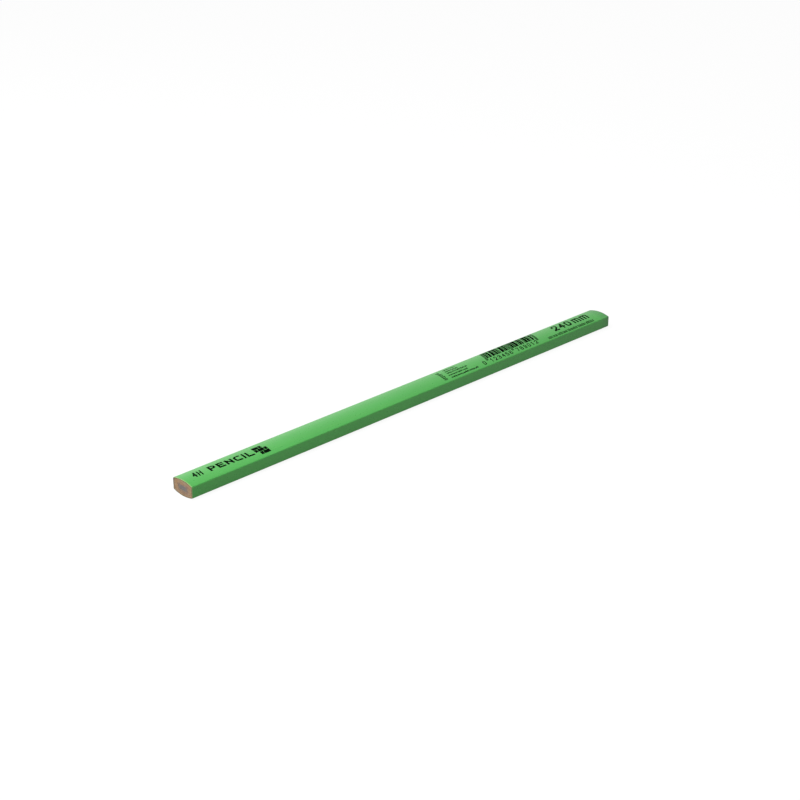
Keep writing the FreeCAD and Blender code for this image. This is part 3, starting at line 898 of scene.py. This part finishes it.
def stamps():
    made = {}
    fall = -0.035
    shapes = []
    for i, ch in enumerate("4H"):
        shapes += glyph(ch, -115.25 + i * 2.40, -1.80, 1.95, 3.75, 0.58)
    made["stamp_grade"] = film("ink_grade", shapes, 0.17, 0.06, 401, fall=fall, start=-113.0)

    shapes, x = [], -107.7
    for ch in "PENCIL":
        w = 0.88 if ch == "I" else 3.15
        shapes += glyph(ch, x, -1.80, w, 3.65, 0.879 if ch == "I" else 0.88)
        x += w + 0.78
    made["stamp_word"] = film("ink_word", shapes, 0.07, 0.07, 411, fall=fall, start=-107.7)

    # a racked-back brick wall, three courses in running bond
    bl, bh, jt, dx, dy = 2.86, 1.92, 0.16, -86.2, -3.85
    hf, wall = (bl - jt) / 2, 2 * bl + jt
    courses = [
        [(hf + jt, bl), (bl + jt, wall)],
        [(0, hf), (hf + jt, hf + jt + bl), (wall - hf, wall)],
        [(0, bl), (bl + jt, bl + jt + hf)],
    ]
    shapes = []
    for row, runs in enumerate(courses):
        y0 = dy + row * (bh + jt)
        shapes += [box(dx + a, dx + b, y0, y0 + bh, 0.05) for a, b in runs]
    made["stamp_device"] = film("ink_device", shapes, 0.09, 0.07, 421)

    shapes = []
    for row, ln in enumerate([2.2, 1.6, 2.3, 1.9, 2.1, 1.5, 2.2]):
        shapes += run_of_marks(14.2, -4.2 + row * 1.06, ln, 0.76, 0.34, 430 + row, tall=0.12, low=0.10)
    made["stamp_side_block"] = film("ink_side_block", shapes, 0.14, 0.06, 441, rough=0.012)

    shapes = []
    for y0, x0, ln, sd in [(2.60, 19.0, 7.6, 451), (0.90, 18.7, 7.6, 455), (-0.85, 18.6, 12.3, 452),
                           (-2.60, 18.1, 11.5, 453), (-4.35, 18.3, 16.3, 454)]:
        shapes += run_of_marks(x0, y0, ln, 0.74, 0.30, sd, gap=0.36)
    made["stamp_small_lines"] = film("ink_small_lines", shapes, 0.14, 0.06, 461, rough=0.012)

    module, bx = 0.3526, 41.9
    pattern = [
        (0, 1), (2, 1), (4, 2), (7, 1), (9, 3), (14, 4), (19, 1), (21, 3), (25, 2), (28, 1), (31, 4), (36, 1),
        (38, 3), (42, 1), (44, 1), (46, 1), (48, 1), (50, 3), (54, 2), (57, 4), (63, 1), (65, 3), (69, 2), (73, 1),
        (75, 4), (80, 3), (84, 1), (87, 3), (92, 1), (94, 1),
    ]
    guards = {0, 2, 46, 48, 92, 94}
    shapes = [box(bx + a * module, bx + (a + c) * module + 0.11, -2.75 if a in guards else -1.25, 5.12, 0.02) for a, c in pattern]
    made["stamp_bars"] = film("ink_bars", shapes, 0.40, 0.07, 471, rough=0.010)

    shapes = glyph("0", 38.35, -4.52, 1.60, 2.50, 0.42)
    for i, ch in enumerate("123456"):
        shapes += glyph(ch, 43.0 + i * 2.43, -4.52, 1.60, 2.50, 0.42)
    for i, ch in enumerate("789012"):
        shapes += glyph(ch, 59.6 + i * 2.43, -4.52, 1.60, 2.50, 0.42)
    made["stamp_digits"] = film("ink_digits", shapes, 0.15, 0.06, 481)

    shapes, x = [], 87.6
    for ch in "240":
        shapes += glyph(ch, x, -1.65, 3.40, 5.0, 0.92)
        x += 4.30
    x += 0.8
    for ch in "mm":
        shapes += glyph(ch, x, -1.65, 4.60, 5.0, 0.90)
        x += 5.50
    made["stamp_length"] = film("ink_length", shapes, 0.28, 0.07, 491)

    shapes = run_of_marks(80.3, -4.90, 31.6, 1.42, 0.42, 501, tall=0.16, low=0.0, gap=0.70)
    made["stamp_foot_line"] = film("ink_foot_line", shapes, 0.20, 0.06, 511, rough=0.012)
    return made


# --------------------------------------------------------------- put together
coat = build_lacquer()
inset_l, _, _, _ = body_ring(LACQUER_T)
inset_p, _, _, _ = body_ring(PAINT_T)
primer = sleeve("primer_sleeve", inset_p, inset_l, 0.015, 0.02, PRIMER, 151)
upper = slat("upper_slat_wood", True, (6.0, -31.0), WOOD_UP)
lower = slat("lower_slat_wood", False, (-13.0, 34.0), WOOD_LOW)
core = core_piece()
bond = sleeve(
    "core_glue_sleeve",
    oblong_ring(CORE_W, CORE_T, CORE_R),
    oblong_ring(CORE_W + 2 * GLUE_T, CORE_T + 2 * GLUE_T, CORE_R + GLUE_T),
    0.02, 0.02, GLUE, 201,
)
seam_l = seam("seam_glue_line_left", 1)
seam_r = seam("seam_glue_line_right", -1)

for piece, node, slot in [
    (coat, "green_lacquer", "lacquer"), (primer, "primer_coat", "primer"),
    (upper, "upper_slat", "wood"), (lower, "lower_slat", "wood"), (core, "graphite_core", "graphite"),
    (bond, "core_glue_film", "glue"), (seam_l, "seam_glue_left", "glue"), (seam_r, "seam_glue_right", "glue"),
]:
    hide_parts(node)
    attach(piece, "root")
for node, piece in stamps().items():
    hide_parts(node)
    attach(piece, "root")


# ---------------------------------------------------------- floor, light, view
def floor():
    me = bpy.data.meshes.new("floor")
    r = 4.0
    me.from_pydata([(-r, -r, 0), (r, -r, 0), (r, r, 0), (-r, r, 0)], [], [(0, 1, 2, 3)])
    ob = bpy.data.objects.new("floor", me)
    bpy.context.scene.collection.objects.link(ob)
    ob.location = (0, 0, -0.00002)
    mat = bpy.data.materials.new("floor_white")
    mat.use_nodes = True
    t = mat.node_tree
    t.nodes.clear()
    out = t.nodes.new("ShaderNodeOutputMaterial")
    path = t.nodes.new("ShaderNodeLightPath")

    def white(lit_by, own):
        """A white that is partly lit and partly its own light."""
        lit = t.nodes.new("ShaderNodeBsdfDiffuse")
        lit.inputs["Color"].default_value = (lit_by, lit_by, lit_by, 1)
        glow = t.nodes.new("ShaderNodeEmission")
        glow.inputs["Color"].default_value = (1, 1, 1, 1)
        glow.inputs["Strength"].default_value = own
        both = t.nodes.new("ShaderNodeAddShader")
        t.links.new(lit.outputs[0], both.inputs[0])
        t.links.new(glow.outputs[0], both.inputs[1])
        return both.outputs[0]

    def choose(fac, a, b):
        mix = t.nodes.new("ShaderNodeMixShader")
        t.links.new(fac, mix.inputs[0])
        t.links.new(a, mix.inputs[1])
        t.links.new(b, mix.inputs[2])
        return mix.outputs[0]

    # an overexposed sweep: white to the eye, milder in reflections, milder still as bounce light
    other = choose(path.outputs["Is Diffuse Ray"], white(0.26, 0.46), white(0.36, 0.0))
    t.links.new(choose(path.outputs["Is Camera Ray"], other, white(0.10, 0.93)), out.inputs[0])
    me.materials.append(mat)
    return ob


floor()

world = bpy.data.worlds.new("studio")
bpy.context.scene.world = world
world.use_nodes = True
wt = world.node_tree
wt.nodes.clear()
w_out = wt.nodes.new("ShaderNodeOutputWorld")
w_seen = wt.nodes.new("ShaderNodeBackground")
w_seen.inputs["Color"].default_value = (1, 1, 1, 1)
# the white surround falls off towards the far end of the sweep
w_dir = wt.nodes.new("ShaderNodeTexCoord")
w_sep = wt.nodes.new("ShaderNodeSeparateXYZ")
w_fall = wt.nodes.new("ShaderNodeMapRange")
for name, value in (("From Min", 0.50), ("From Max", 0.74), ("To Min", 1.10), ("To Max", 0.73)):
    w_fall.inputs[name].default_value = value
wt.links.new(w_dir.outputs["Generated"], w_sep.inputs[0])
wt.links.new(w_sep.outputs["X"], w_fall.inputs["Value"])
wt.links.new(w_fall.outputs["Result"], w_seen.inputs["Strength"])
w_soft = wt.nodes.new("ShaderNodeBackground")
w_soft.inputs["Color"].default_value = (1, 1, 1, 1)
w_soft.inputs["Strength"].default_value = 0.30
w_path = wt.nodes.new("ShaderNodeLightPath")
w_mix = wt.nodes.new("ShaderNodeMixShader")
wt.links.new(w_path.outputs["Is Diffuse Ray"], w_mix.inputs[0])
wt.links.new(w_seen.outputs[0], w_mix.inputs[1])
wt.links.new(w_soft.outputs[0], w_mix.inputs[2])
wt.links.new(w_mix.outputs[0], w_out.inputs[0])


def area(name, loc, aim, size, power, color=(1, 1, 1)):
    data = bpy.data.lights.new(name, "AREA")
    data.shape = "SQUARE"
    data.size = size
    data.energy = power
    data.color = color
    ob = bpy.data.objects.new(name, data)
    bpy.context.scene.collection.objects.link(ob)
    ob.location = loc
    ob.rotation_mode = "QUATERNION"
    ob.rotation_quaternion = (Vector(aim) - Vector(loc)).to_track_quat("-Z", "Y")
    return ob


area("softbox", (-0.42, 0.11, 0.62), (0, 0, 0), 0.7, 6.6)

cam_data = bpy.data.cameras.new("camera")
cam_data.lens = 70.9
cam_data.sensor_width = 36.0
cam = bpy.data.objects.new("camera", cam_data)
bpy.context.scene.collection.objects.link(cam)
cam.location = (-0.4195, -0.4209, 0.2741)
cam.rotation_mode = "QUATERNION"
cam.rotation_quaternion = (Vector((-0.0091, -0.0004, 0.00325)) - cam.location).to_track_quat("-Z", "Y")
cam_data.clip_start, cam_data.clip_end = 0.01, 20.0
bpy.context.scene.camera = cam

view = bpy.context.scene.view_settings
view.view_transform = "Standard"
view.look = "None"
view.exposure = 0.0
view.gamma = 1.0
